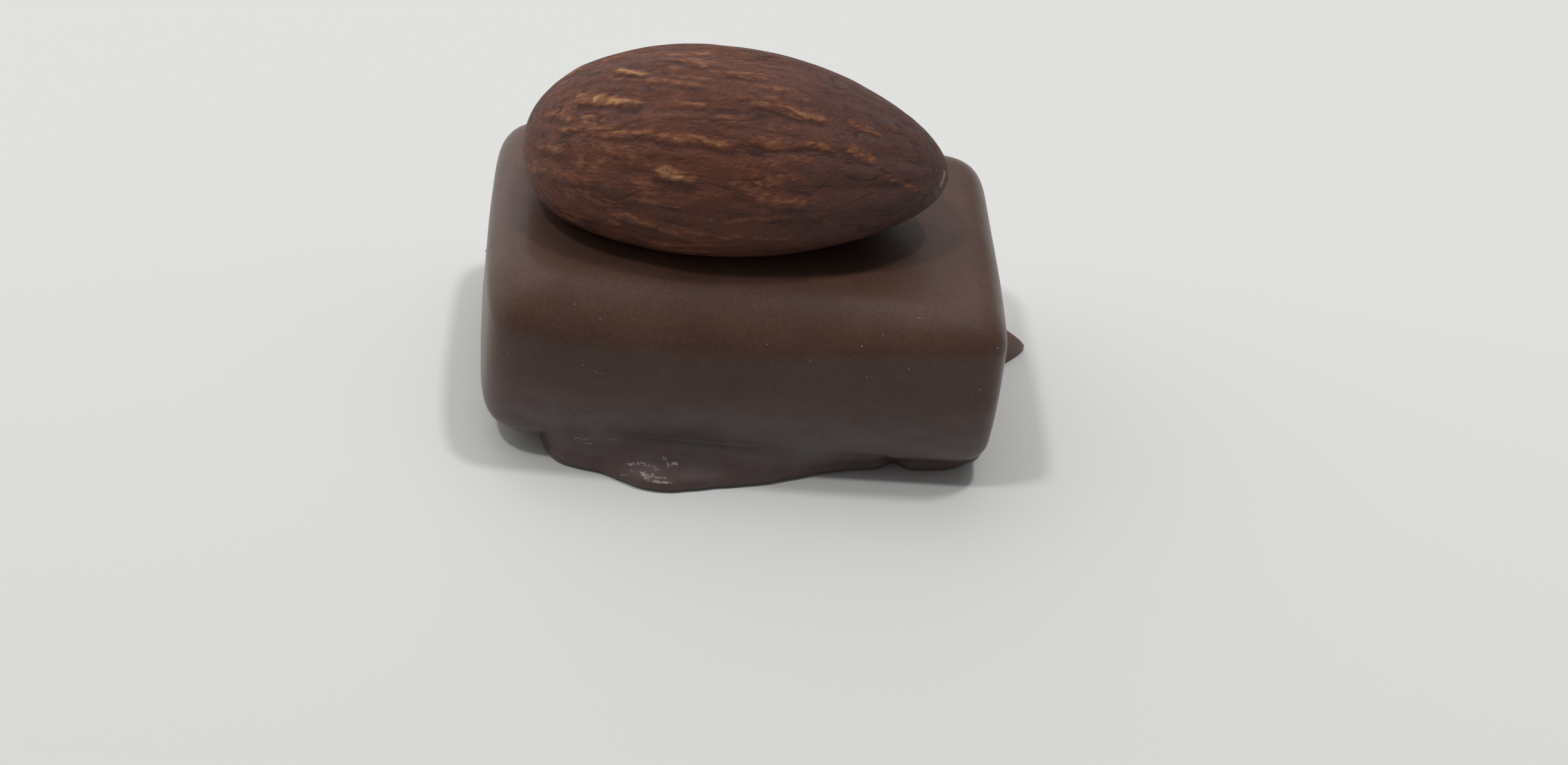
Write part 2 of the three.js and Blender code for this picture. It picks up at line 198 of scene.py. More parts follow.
# Scuffs: width in millimetres and a path in the photograph; crumbs: places in the photograph, and a number
# of them on the sides that it doesn't show, between two angles round the block and two heights
PIXELS_PER_MM = 29.3
SCUFFS = [
    (0.13, (1029, 763), (1045, 762), (1062, 764), (1084, 773)),
    (0.09, (1036, 773), (1056, 776), (1080, 771)),
    (0.16, (1053, 779), (1068, 788), (1084, 792), (1103, 794)),
    (0.13, (1062, 780), (1078, 784), (1096, 787)),
    (0.12, (1090, 751), (1096, 758), (1098, 767)),
    (0.13, (1103, 764), (1108, 761), (1113, 763)),
    (0.07, (1018, 781), (1029, 780)),
    (0.08, (943, 719), (953, 721), (968, 721)),
    (0.07, (950, 726), (962, 728), (973, 729)),
    (0.07, (1000, 722), (1008, 721), (1015, 723)),
    (0.05, (1506, 522), (1516, 524)),
    (0.05, (975, 607), (982, 615)),
]
SCUFF_SEED = 5
SCUFF_STEPS = 5
SCUFF_FLAKES = 3
SCUFF_SPREAD = 0.3
FLAKE_LENGTH = (0.6, 1.6)
FLAKE_NARROWING = (0.35, 0.8)
FLAKE_HEIGHT = 0.03
CRUMBS = [
    (934, 593), (959, 600), (991, 613), (981, 629), (985, 655), (942, 674), (979, 645), (925, 752),
    (999, 743), (1032, 754), (1058, 752), (1337, 635), (1472, 692), (1315, 697), (1302, 712), (1343, 714),
    (1436, 734), (1554, 742), (1571, 690), (1540, 454), (1605, 471), (1598, 505), (1639, 543), (1639, 572),
    (1605, 625), (1632, 644), (1636, 627), (1617, 706), (1610, 640), (1595, 655), (1627, 662), (1524, 423),
    (847, 271), (984, 450), (986, 524), (1177, 515), (1613, 393), (944, 500), (1450, 551), (1416, 569),
    (1261, 566), (1331, 594), (1424, 620), (1493, 605),
]
CRUMB_SIZE = (0.07, 0.15)
CRUMB_NARROWEST = 0.5
CRUMB_JITTER = 0.3
CRUMB_TINT_PITCH = (0.4, 0.4, 0.4)
HIDDEN_CRUMBS = 40
HIDDEN_SIDE = (-10.0, 215.0)
HIDDEN_HEIGHT = (2.0, 9.0)

# Noise: a seed for each pattern, where a sway takes the next one too, how far a seed shifts the pattern, and
# the range that the noise of the materials mostly keeps to
SEEDS = {
    "ripple": 1, "sway": 2, "streaks": 4, "threads": 5, "patches": 6,
    "wander": 7, "breaks": 8, "wobble": 9, "lumps": 12,
}
SEED_SHIFT = (7.1, 3.7, 5.3)
CLOUD_RANGE = (0.35, 0.65)

# Mesh fineness
LONG_CELLS = 124
SHORT_CELLS = 84
CORNER_CELLS = 22
EDGE_STEPS = 3
FLARE_STEPS = 10
UNDER_STEPS = 16
WALL_STEPS = 10
TOP_STEPS = 18
STRIP_STEPS = 14
SHARP_ANGLE = 60.0
SPUR_STEPS = 24
SPUR_ROUND_STEPS = 6
KERNEL_RINGS = 300
KERNEL_SECTORS = 300

# Camera, from the outline of the block and the kernel in the 2576 by 1257 photograph
PHOTO_SIZE = (2576, 1257)
FOCAL_PIXELS = 4500.0
SENSOR_WIDTH = 36.0
CAMERA_ELEVATION = 39.02
CAMERA_YAW = -8.30
CAMERA_ROLL = 9.54
CAMERA_DISTANCE = 153.53
CAMERA_SHIFT = (2.397, -4.897)
CAMERA_TARGET = (0.0, -0.45, 5.5)

# Room light. Each side: direction, from and to in its closeness, and the light at both: brighter towards
# the window, a glow under the ceiling, and all of it dimmed towards the dark front of the room
ROOM_SIDES = [
    ((-0.8, 0.55, 0.25), 0.0, 1.0, 0.30, 1.15),
    ((0.0, 0.25, 0.97), 0.8, 1.0, 0.0, 1.0),
    ((-0.1, -0.77, 0.63), 0.35, 0.9, 1.0, 0.24),
]
FLOOR_HALF = 2000.0
# Painted shade on the floor: greyer from Y 12 towards Y -32 millimetres, at the front, where the light falls
# off
FLOOR_PAINTED_SHADE = (-32.0, 12.0)

# Lamps, from the two shadows beside the block: the shadow's run along X and Y for each unit of height, watts
LAMP_DISTANCE = 2.0
LAMP_DIAMETER = 0.2
LAMPS = {"lamp_right": (-0.20, -0.15, 10.5), "lamp_left": (0.44, 0.07, 9.5)}


# Small helpers

def mix(a, b, t):
    return a + (b - a) * t


def smooth(low, high, value):
    """0 below low, 1 above high, and an easy climb between them."""
    t = np.clip((value - low) / (high - low), 0, 1)
    return t * t * (3 - 2 * t)


def bump(distance, width):
    """A soft hump: 1 at no distance, next to nothing at two widths."""
    return np.exp(-(distance / width) ** 2)


def field(points, pitch, seed):
    """Smooth noise from -1 to 1 at points in millimetres; pitch is the size of its patches."""
    shift = Vector(SEED_SHIFT) * seed
    spots = np.asarray(points) / np.asarray(pitch)
    return np.array([noise.noise(Vector(spot) + shift) for spot in spots])


def spline(points, steps):
    """A smooth curve through the points, with steps between each two of them."""
    first = 2 * np.array(points[0]) - np.array(points[1])
    last = 2 * np.array(points[-1]) - np.array(points[-2])
    knots = [first, *(np.array(p) for p in points), last]
    curve = [knots[1]]
    for a, b, c, d in zip(knots, knots[1:], knots[2:], knots[3:]):
        for k in range(1, steps + 1):
            t = k / steps
            turn = (2 * a - 5 * b + 4 * c - d) * t**2 + (3 * b - a - 3 * c + d) * t**3
            curve.append(0.5 * (2 * b + (c - a) * t + turn))
    return curve


def new_object(name, vertices, faces):
    """A smooth-shaded mesh object from vertices in millimetres."""
    mesh = bpy.data.meshes.new(name)
    mesh.from_pydata((np.asarray(vertices) * MM).tolist(), [], faces)
    mesh.shade_smooth()
    piece = bpy.data.objects.new(name, mesh)
    bpy.context.collection.objects.link(piece)
    return piece


# Camera

def camera_axes():
    """Right, up and backward directions of the camera, and its place in millimetres."""
    elevation = math.radians(CAMERA_ELEVATION)
    yaw = math.radians(CAMERA_YAW)
    roll = math.radians(CAMERA_ROLL)
    level = math.cos(elevation)
    back = Vector((math.sin(yaw) * level, -math.cos(yaw) * level, math.sin(elevation)))
    flat = Vector((math.cos(yaw), math.sin(yaw), 0))
    steep = back.cross(flat)
    right = flat * math.cos(roll) + steep * math.sin(roll)
    up = steep * math.cos(roll) - flat * math.sin(roll)
    place = Vector(CAMERA_TARGET) + back * CAMERA_DISTANCE + right * CAMERA_SHIFT[0] + up * CAMERA_SHIFT[1]
    return right, up, back, place


def make_camera():
    right, up, back, place = camera_axes()
    data = bpy.data.cameras.new("camera")
    data.sensor_width = SENSOR_WIDTH
    data.lens = FOCAL_PIXELS / PHOTO_SIZE[0] * SENSOR_WIDTH
    data.clip_start = MM
    camera = bpy.data.objects.new("camera", data)
    turn = Matrix((right, up, back)).transposed()
    camera.matrix_world = Matrix.Translation(place * MM) @ turn.to_4x4()
    bpy.context.collection.objects.link(camera)
    bpy.context.scene.camera = camera


def photo_ray(pixel):
    """Start and direction, in metres, of the line of sight through a pixel of the photograph."""
    right, up, back, place = camera_axes()
    across = (pixel[0] - PHOTO_SIZE[0] / 2) / FOCAL_PIXELS
    down = (pixel[1] - PHOTO_SIZE[1] / 2) / FOCAL_PIXELS
    return place * MM, (right * across - up * down - back).normalized()


# Chocolate block, foot and spur

def outline_stations():
    """Places round the block from its front right corner: core point, outward direction, reach, top cell."""
    right = BLOCK_LENGTH / 2 - CORE_INSET
    back = BLOCK_WIDTH / 2 - CORE_INSET
    corners = [
        ((right, -back), (LONG_CELLS, 0), (0, 1), SHORT_CELLS),
        ((right, back), (LONG_CELLS, SHORT_CELLS), (-1, 0), LONG_CELLS),
        ((-right, back), (0, SHORT_CELLS), (0, -1), SHORT_CELLS),
        ((-right, -back), (0, 0), (1, 0), LONG_CELLS),
    ]
    core, normal, reach, cell = [], [], [], []
    for index, (corner, corner_cell, step, cells) in enumerate(corners):
        following = corners[(index + 1) % len(corners)][0]
        square = list(CORNER_POWER.values())[index]
        start = (index - 1) * math.pi / 2
        for k in range(CORNER_CELLS + 1):
            turn = k / CORNER_CELLS * math.pi / 2
            power = abs(math.cos(turn)) ** square + abs(math.sin(turn)) ** square
            core.append(corner)
            normal.append((math.cos(start + turn), math.sin(start + turn)))
            reach.append(CORE_INSET * power ** (-1 / square))
            cell.append(corner_cell)
        for k in range(1, cells):
            t = k / cells
            core.append((mix(corner[0], following[0], t), mix(corner[1], following[1], t)))
            normal.append((math.cos(start + math.pi / 2), math.sin(start + math.pi / 2)))
            reach.append(CORE_INSET)
            cell.append((corner_cell[0] + step[0] * k, corner_cell[1] + step[1] * k))
    return np.array(core), np.array(normal), np.array(reach), cell


def dome_at(x, y):
    """How far the top is domed above its rim."""
    along = 1 - np.minimum((2 * x / BLOCK_LENGTH) ** 2, 1)
    across = 1 - np.minimum((2 * y / BLOCK_WIDTH) ** 2, 1)
    return TOP_DOME * along * across


def wave_at(x, y, z):
    """Slow unevenness of the poured coating."""
    long = np.sin(x / WALL_WAVE["along_x"] + WALL_WAVE["lean"] * z)
    short = np.cos(y / WALL_WAVE["along_y"] - WALL_WAVE["lean"] * z)
    return WALL_WAVE["height"] * (long + short) / 2


def foot_offset(x, y):
    """How far the foot's rim lies outside the block, with its lobes and ripple."""
    offset = np.full_like(x, FOOT_OFFSET)
    for lobe_x, lobe_y, amount, width in FOOT_LOBES:
        offset += amount * bump(np.hypot(x - lobe_x, y - lobe_y), width)
    ripple = field(np.column_stack([x, y, np.zeros_like(x)]), FOOT_RIPPLE["length"], SEEDS["ripple"])
    return offset + FOOT_RIPPLE["height"] * ripple


def by_side(size, nx, ny):
    """A size that differs from side to side, blended round the corners."""
    lengthwise = np.where(nx > 0, size["right"], size["left"])
    crosswise = np.where(ny > 0, size["back"], size["front"])
    return lengthwise * nx * nx + crosswise * ny * ny


def top_rounding(x, nx, ny):
    """Height and depth of the rounding between the walls and the top: softest at the front left."""
    sharp = smooth(FRONT_EDGE_SHARPENS["from_x"], FRONT_EDGE_SHARPENS["to_x"], x)
    front = mix(TOP_RADIUS["front"], TOP_RADIUS["front_right"], sharp)
    height = by_side({**TOP_RADIUS, "front": front}, nx, ny)
    depth = by_side({**TOP_RADIUS, "front": front * FRONT_EDGE_STRETCH}, nx, ny)
    return height, depth


def bulge_at(x, y, nx, ny):
    """How far a wall swells out between its corners."""
    long = np.where(ny < 0, SIDE_BULGE["front"], SIDE_BULGE["back"]) * np.cos(math.pi * x / BLOCK_LENGTH)
    short = np.where(nx < 0, SIDE_BULGE["left"], SIDE_BULGE["right"]) * np.cos(math.pi * y / BLOCK_WIDTH)
    return np.abs(ny) * long + np.abs(nx) * short


def rise(turn, power):
    """How far out a rounding of this power has come after a turn, from 0 to 1."""
    return np.sin(turn) ** (2 / power)


def fall(turn, power):
    """How much of the rounding's height is left to climb after a turn, from 1 to 0."""
    return np.cos(turn) ** (2 / power)


def foot_profile(rim, neck, neck_z):
    """Loops of the foot: its rounded edge, then a hollow curve from there up to the neck."""
    loops = []
    for out, z in spline(FOOT_EDGE, EDGE_STEPS):
        loops.append((rim + out, np.full_like(rim, z)))
    edge, edge_z = loops[-1]
    hollow = mix(neck, rim, FOOT_HOLLOW["out"])
    hollow_z = mix(neck_z, edge_z, FOOT_HOLLOW["down"])
    for k in range(1, FLARE_STEPS + 1):
        t = k / FLARE_STEPS
        out = mix(mix(edge, hollow, t), mix(hollow, neck, t), t)
        z = mix(mix(edge_z, hollow_z, t), mix(hollow_z, neck_z, t), t)
        loops.append((out, z))
    return loops


def block_profile(core, normal, reach):
    """Loops of offset and height from the underside of the foot to the rim of the top."""
    nx, ny = normal.T
    x = core[:, 0] + nx * reach
    y = core[:, 1] + ny * reach
    rim = foot_offset(x, y)
    run = smooth(RUNOUT["start"], RUNOUT["full"], rim)
    neck = -mix(NECK_STEP - rim, RUNOUT["neck_inset"], run)
    neck_z = mix(mix(UNDER_Z_LEFT, UNDER_Z_RIGHT, x / BLOCK_LENGTH + 0.5), RUNOUT["neck_z"], run)
    lean = run * math.radians(RUNOUT["lean"])
    edge_height, edge_depth = top_rounding(x, nx, ny)
    shoulder_z = BLOCK_HEIGHT - edge_height
    belly_z = UNDER_Z_LEFT + by_side(UNDER_RADIUS, nx, ny)
    power = by_side(UNDER_POWER, nx, ny)
    bulge = bulge_at(x, y, nx, ny)
    taper = by_side(WALL_TAPER, nx, ny)
    loops = foot_profile(rim, neck, neck_z)
    # The block's lower rounding, from the neck out to the belly: squarer than a circle
    for k in range(1, UNDER_STEPS + 1):
        t = k / UNDER_STEPS
        turn = mix(lean, math.pi / 2, t)
        out = neck * (1 - rise(turn, power)) / (1 - rise(lean, power)) + bulge * t
        loops.append((out, mix(belly_z, neck_z, fall(turn, power) / fall(lean, power))))
    for k in range(1, WALL_STEPS):
        z = mix(belly_z, shoulder_z, k / WALL_STEPS)
        loops.append((bulge - taper * ((z - belly_z) / (BLOCK_HEIGHT - belly_z)) ** 2, z))
    for k in range(TOP_STEPS + 1):
        turn = k / TOP_STEPS * math.pi / 2
        z = shoulder_z + edge_height * math.sin(turn)
        inward = taper * ((z - belly_z) / (BLOCK_HEIGHT - belly_z)) ** 2 + edge_depth * (1 - math.cos(turn))
        loops.append((bulge * math.cos(turn) - inward, z))
    # The strip of the top between its rounding and the core rectangle
    rounded = loops[-1][0]
    for k in range(1, STRIP_STEPS):
        loops.append((mix(rounded, -CORE_INSET, k / STRIP_STEPS), np.full_like(rim, BLOCK_HEIGHT)))
    return loops


def block_loop(core, normal, reach, offset, z):
    """One loop of points round the block, with its unevenness and doming."""
    share = 1 + offset / CORE_INSET
    x = core[:, 0] + normal[:, 0] * reach * share
    y = core[:, 1] + normal[:, 1] * reach * share
    wave = smooth(UNDER_Z_LEFT, BLOCK_HEIGHT / 3, z) * wave_at(x, y, z)
    raised = smooth(BLOCK_HEIGHT / 2, BLOCK_HEIGHT, z) * dome_at(x, y)
    return np.column_stack([x + normal[:, 0] * wave, y + normal[:, 1] * wave, z + raised])


def press_seat(points):
    """Lowers the points of the top that lie inside the kernel to just under its skin."""
    placing = kernel_placing()
    local = (points - placing.translation) @ np.array(placing.to_3x3())
    at = np.clip(local[:, 0] / ALMOND_LENGTH + 0.5, KERNEL_END, 1 - KERNEL_END)
    share = kernel_share(at)
    side = (local[:, 1] - kernel_bend(at)) / (share * ALMOND_WIDTH / 2 + SEAT_GAP)
    under = -(share * ALMOND_THICKNESS / 2 + SEAT_GAP) * np.sqrt(np.clip(1 - side**2, 0, 1))
    inside = (np.abs(side) < 1) & (np.abs(local[:, 0]) < ALMOND_LENGTH / 2) & (local[:, 2] > under)
    local[inside, 2] = under[inside]
    return local @ np.array(placing.to_3x3()).T + placing.translation


def make_block():
    """The block with its foot and the seat in its top, as one closed mesh."""
    core, normal, reach, cell = outline_stations()
    count = len(core)
    loops = [block_loop(core, normal, reach, *loop) for loop in block_profile(core, normal, reach)]
    faces = []
    for level in range(len(loops) - 1):
        for i in range(count):
            lower = level * count
            after = (i + 1) % count
            faces.append((lower + i, lower + after, lower + count + after, lower + count + i))
    # The top inside the rounding: a grid over the core rectangle, joined to the last loop
    grid = len(loops) * count
    x, y = np.meshgrid(
        np.linspace(-0.5, 0.5, LONG_CELLS + 1) * (BLOCK_LENGTH - 2 * CORE_INSET),
        np.linspace(-0.5, 0.5, SHORT_CELLS + 1) * (BLOCK_WIDTH - 2 * CORE_INSET),
    )
    top = np.column_stack([x.ravel(), y.ravel(), (BLOCK_HEIGHT + dome_at(x, y)).ravel()])

    def top_index(place):
        return grid + place[1] * (LONG_CELLS + 1) + place[0]

    rim = grid - count
    for i in range(count):
        after = (i + 1) % count
        inner, inner_after = top_index(cell[i]), top_index(cell[after])
        if inner == inner_after:
            faces.append((rim + i, rim + after, inner))
        else:
            faces.append((rim + i, rim + after, inner_after, inner))
    for j in range(SHORT_CELLS):
        for i in range(LONG_CELLS):
            square = [(i, j), (i + 1, j), (i + 1, j + 1), (i, j + 1)]
            faces.append(tuple(top_index(place) for place in square))
    faces.append(tuple(reversed(range(count))))
    points = np.vstack([*loops, top])
    high = points[:, 2] > BLOCK_HEIGHT - TOP_RADIUS["right"]
    points[high] = press_seat(points[high])
    return new_object("chocolate_block", points, faces)


def make_spur():
    """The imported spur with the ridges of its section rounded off."""
    section = spline(SPUR_SECTION, SPUR_ROUND_STEPS)
    count = len(section)
    points = []
    faces = []
    for k in range(SPUR_STEPS + 1):
        t = k / SPUR_STEPS
        waist = 1 - (1 - t) ** SPUR_FULLNESS
        x, y = (mix(SPUR_ROOT[axis], SPUR_TIP[axis], t) for axis in (0, 1))
        half_width, height = (mix(SPUR_ROOT[axis], SPUR_TIP[axis], waist) for axis in (2, 3))
        points += [(x, y + side * half_width, SPUR_Z + up * height) for side, up in section]
    for k in range(SPUR_STEPS):
        for i in range(count):
            after = (i + 1) % count
            here, there = k * count, (k + 1) * count
            faces.append((here + after, here + i, there + i, there + after))
    faces.append(tuple(range(count)))
    faces.append(tuple(reversed(range(SPUR_STEPS * count, (SPUR_STEPS + 1) * count))))
    return new_object("chocolate_spur", points, faces)


def join_solid(piece, other):
    """Unites two closed meshes into the first and removes the second."""
    union = piece.modifiers.new("union", "BOOLEAN")
    union.operation = "UNION"
    union.solver = "EXACT"
    union.object = other
    joined = bpy.data.meshes.new_from_object(piece.evaluated_get(bpy.context.evaluated_depsgraph_get()))
    piece.modifiers.clear()
    piece.data = joined
    bpy.data.objects.remove(other)


def make_chocolate(material):
    """The block and its spur as one piece."""
    chocolate = make_block()
    join_solid(chocolate, make_spur())
    chocolate.data.shade_smooth()
    chocolate.data.set_sharp_from_angle(angle=math.radians(SHARP_ANGLE))
    chocolate.data.materials.clear()
    chocolate.data.materials.append(material)
    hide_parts("chocolate")
    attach(chocolate, "root")
    return chocolate


# Almond kernel

def kernel_share(at):
    """Half-width of the kernel along its length, 1 at the widest place."""
    widest = ALMOND_BLUNT / (ALMOND_BLUNT + ALMOND_POINT)
    return (at / widest) ** ALMOND_BLUNT * ((1 - at) / (1 - widest)) ** ALMOND_POINT


def kernel_bend(at):
    """How far the kernel's middle line is bent towards the back."""
    return ALMOND_BEND * (1 - (2 * at - 1) ** 2)


def kernel_points(at, angle, relief):
    """Points of the level kernel round the origin."""
    share = kernel_share(at)
    y = (share * ALMOND_WIDTH / 2 + relief) * np.cos(angle) + kernel_bend(at)
    z = (share * ALMOND_THICKNESS / 2 + relief) * np.sin(angle)
    return np.column_stack([(at - 0.5) * ALMOND_LENGTH, y, z])


def kernel_grid():
    """Place along the kernel from 0 to 1 and angle round it, with its ends as first and last points."""
    rings = (1 - np.cos(np.arange(1, KERNEL_RINGS) / KERNEL_RINGS * math.pi)) / 2
    sectors = np.arange(KERNEL_SECTORS) / KERNEL_SECTORS * 2 * math.pi
    at, angle = np.meshgrid(rings, sectors, indexing="ij")
    return np.concatenate([[0], at.ravel(), [1]]), np.concatenate([[0], angle.ravel(), [0]])


def kernel_placing():
    """Turns the level kernel and sets it down on the block, sunk a little into the top. In millimetres."""
    turned = (
        Matrix.Rotation(math.radians(ALMOND_TURN), 4, "Z")
        @ Matrix.Rotation(math.radians(-ALMOND_RISE), 4, "Y")
        @ Matrix.Rotation(math.radians(ALMOND_ROLL), 4, "X")
    )
    at, angle = kernel_grid()
    lowest = (kernel_points(at, angle, 0) @ np.array(turned.to_3x3()).T)[:, 2].min()
    turned.translation = (*ALMOND_CENTRE, BLOCK_HEIGHT + TOP_DOME - ALMOND_SINK - lowest)
    return turned


def ends_fade(at):
    """1 along the kernel, falling to 0 at both ends."""
    return smooth(0, RIDGE_FADE["blunt"], at) * smooth(0, RIDGE_FADE["point"], 1 - at)


def ridge_at(at, angle):
    """Long wandering ridges of the skin, fading out at both ends."""
    height = np.zeros_like(at)
    for count, phase, swing, pitch in RIDGE_WAVES:
        height += np.cos(count * angle + phase + swing * np.sin(pitch * at))
    return RIDGE_HEIGHT * ends_fade(at) * height / len(RIDGE_WAVES)


def kernel_faces():
    faces = []
    last = (KERNEL_RINGS - 1) * KERNEL_SECTORS + 1
    for i in range(KERNEL_SECTORS):
        after = (i + 1) % KERNEL_SECTORS
        faces.append((0, 1 + after, 1 + i))
        faces.append((last, last - KERNEL_SECTORS + i, last - KERNEL_SECTORS + after))
        for k in range(KERNEL_RINGS - 2):
            ring = 1 + k * KERNEL_SECTORS
            there = ring + KERNEL_SECTORS
            faces.append((ring + i, ring + after, there + after, there + i))
    return faces


def set_down(points):
    """Kernel points in their place on the block."""
    placing = kernel_placing()
    return points @ np.array(placing.to_3x3()).T + placing.translation


def sway(points, size, seed):
    """Moves skin coordinates sideways, so that lines drawn in them wander."""
    swayed = points.copy()
    swayed[:, 1] += size["amount"] * field(points, size["pitch"], seed)
    swayed[:, 2] += size["amount"] * field(points, size["pitch"], seed + 1)
    return swayed


def skin_grain(at, angle):
    """Skin coordinates in millimetres: along the kernel, and round it, drawing together at its ends."""
    tube = SKIN_TUBE * kernel_share(at) ** SKIN_NARROWING
    level = np.column_stack([at * ALMOND_LENGTH, tube * np.cos(angle), tube * np.sin(angle)])
    return sway(sway(level, SKIN_SWAY, SEEDS["sway"]), SKIN_WOBBLE, SEEDS["wobble"])


def skin_noise(grain):
    """Crests and grooves drawn out lengthwise, from -1 to 1, and the patches where they are rubbed pale."""
    threads = field(grain, THREAD_PITCH, SEEDS["threads"])
    crests = mix(threads, field(grain, STREAK_PITCH, SEEDS["streaks"]), STREAK_SHARE)
    return crests, field(grain, PATCH_PITCH, SEEDS["patches"])


def skin_place(surface, pixel):
    """Place along the kernel and angle round it of a pixel of the photograph, and the point itself."""
    start, direction = photo_ray(pixel)
    hit = np.array(surface.ray_cast(start, direction)[0]) / MM
    placing = kernel_placing()
    x, y, z = (hit - placing.translation) @ np.array(placing.to_3x3())
    at = x / ALMOND_LENGTH + 0.5
    angle = math.atan2(z / ALMOND_THICKNESS, (y - kernel_bend(at)) / ALMOND_WIDTH)
    return at, angle % (2 * math.pi), hit


def placed_streaks(surface, at, angle, wander):
    """Paleness of the listed streaks, and each one's lower side: a sunken line with painted shade."""
    pale = np.zeros_like(at)
    groove_and_shade = np.zeros_like(at)
    turning = np.hypot(ALMOND_WIDTH / 2 * np.sin(angle), ALMOND_THICKNESS / 2 * np.cos(angle))
    around = kernel_share(at) * turning
    for left, right, width, paleness in STREAKS:
        at_left, angle_left, _ = skin_place(surface, left)
        at_right, angle_right, _ = skin_place(surface, right)
        share = (at - at_left) / (at_right - at_left)
        inside = np.clip(share, 0, 1)
        beyond = (share - inside) * (at_right - at_left) * ALMOND_LENGTH
        across = (angle - mix(angle_left, angle_right, inside)) * around + wander
        level = paleness * bump(beyond, STREAK_END)
        pale = np.maximum(pale, level * bump(across, width))
        # Painted shade: a dark line along each streak's lower side, partly a sunken furrow and partly the
        # streak's shade
        groove_and_shade = np.maximum(groove_and_shade, level * bump(across - SHADED_GROOVE_PLACE * width, SHADED_GROOVE_WIDTH * width))
    return pale, groove_and_shade


def chip_at(surface, points):
    """The pale chip at the kernel's tip, where the skin is off."""
    start = skin_place(surface, TIP_CHIP["from"])[2]
    end = skin_place(surface, TIP_CHIP["to"])[2]
    along = np.clip((points - start) @ (end - start) / np.dot(end - start, end - start), 0, 1)
    nearest = start + along[:, None] * (end - start)
    return bump(np.linalg.norm(points - nearest, axis=1), TIP_CHIP["width"])


def set_attribute(piece, name, kind, values):
    attribute = piece.data.attributes.new(name, kind, "POINT")
    attribute.data.foreach_set("vector" if kind == "FLOAT_VECTOR" else "value", np.ravel(values))


def make_almond(material):
    """The kernel with the relief of its skin and the masks that its colours follow."""
    at, angle = kernel_grid()
    faces = kernel_faces()
    plain = set_down(kernel_points(at, angle, 0))
    surface = BVHTree.FromPolygons((plain * MM).tolist(), faces)
    grain = skin_grain(at, angle)
    crests, patches = skin_noise(grain)
    wander = STREAK_WANDER["amount"] * field(grain, STREAK_WANDER["pitch"], SEEDS["wander"])
    pale, groove_and_shade = placed_streaks(surface, at, angle, wander)
    breaks = smooth(*STREAK_BREAKS["range"], field(grain, STREAK_BREAKS["pitch"], SEEDS["breaks"]))
    pale *= 1 - STREAK_BREAKS["amount"] * breaks
    rubbed = RUBBED["most"] * smooth(*RUBBED["crests"], crests) * smooth(*RUBBED["patches"], patches)
    rubbed *= 1 - smooth(RUBBED_ENDS["from"], RUBBED_ENDS["to"], at)
    lumps = LUMP["height"] * field(plain, LUMP["pitch"], SEEDS["lumps"])
    uneven = lumps + CREST_HEIGHT * crests + STREAK_HEIGHT * (pale - groove_and_shade)
    relief = ridge_at(at, angle) + ends_fade(at) * uneven
    almond = new_object("almond_kernel", set_down(kernel_points(at, angle, relief)), faces)
    set_attribute(almond, "grain", "FLOAT_VECTOR", grain)
    set_attribute(almond, "pale", "FLOAT", np.maximum(pale, rubbed))
    set_attribute(almond, "groove_and_shade", "FLOAT", groove_and_shade)
    set_attribute(almond, "chip", "FLOAT", chip_at(surface, plain))
    almond.data.materials.append(material)
    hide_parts("almond")
    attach(almond, "root")


# Scuffs and crumbs on the chocolate

def chocolate_at(surface, pixel):
    """Where the line of sight through a pixel of the photograph meets the chocolate, and which way is out."""
    start, direction = photo_ray(pixel)
    place, lift, _, _ = surface.ray_cast(start, direction)
    return place / MM, lift


def add_crumb(mesh, place, lift, along, size, shake):
    """A jittered ball, flattened to a length, width and height, that lies along a direction."""
    across = lift.cross(along).normalized()
    turn = Matrix((across.cross(lift), across, lift)).transposed()
    for corner in bmesh.ops.create_icosphere(mesh, subdivisions=1, radius=0.5)["verts"]:
        jitter = 1 + CRUMB_JITTER * shake.uniform(-1, 1)
        local = Vector(c * side * jitter for c, side in zip(corner.co, size))
        corner.co = (place + turn @ local) * MM


def add_scuff(mesh, surface, path, width, shake):
    """A torn run of flakes along a path of pixels."""
    marks = [np.array(mark) for mark in spline(path, SCUFF_STEPS)]
    for before, after in zip(marks, marks[1:]):
        for _ in range(SCUFF_FLAKES):
            off = shake.normal(0, SCUFF_SPREAD * width * PIXELS_PER_MM, 2)
            place, lift = chocolate_at(surface, mix(before, after, shake.uniform()) + off)
            along = chocolate_at(surface, after)[0] - chocolate_at(surface, before)[0]
            length = width * shake.uniform(*FLAKE_LENGTH)
            size = (length, length * shake.uniform(*FLAKE_NARROWING), FLAKE_HEIGHT)
            add_crumb(mesh, place, lift, along, size, shake)


def hidden_spots(surface, shake):
    """Places and outward directions for the crumbs on the sides that the photograph doesn't show."""
    spots = []
    for _ in range(HIDDEN_CRUMBS):
        turn = math.radians(shake.uniform(*HIDDEN_SIDE))
        outward = Vector((math.cos(turn), math.sin(turn), 0))
        middle = Vector((0, 0, shake.uniform(*HIDDEN_HEIGHT)))
        place, lift, _, _ = surface.ray_cast((middle + outward * BLOCK_LENGTH) * MM, -outward)
        spots.append((place / MM, lift))
    return spots


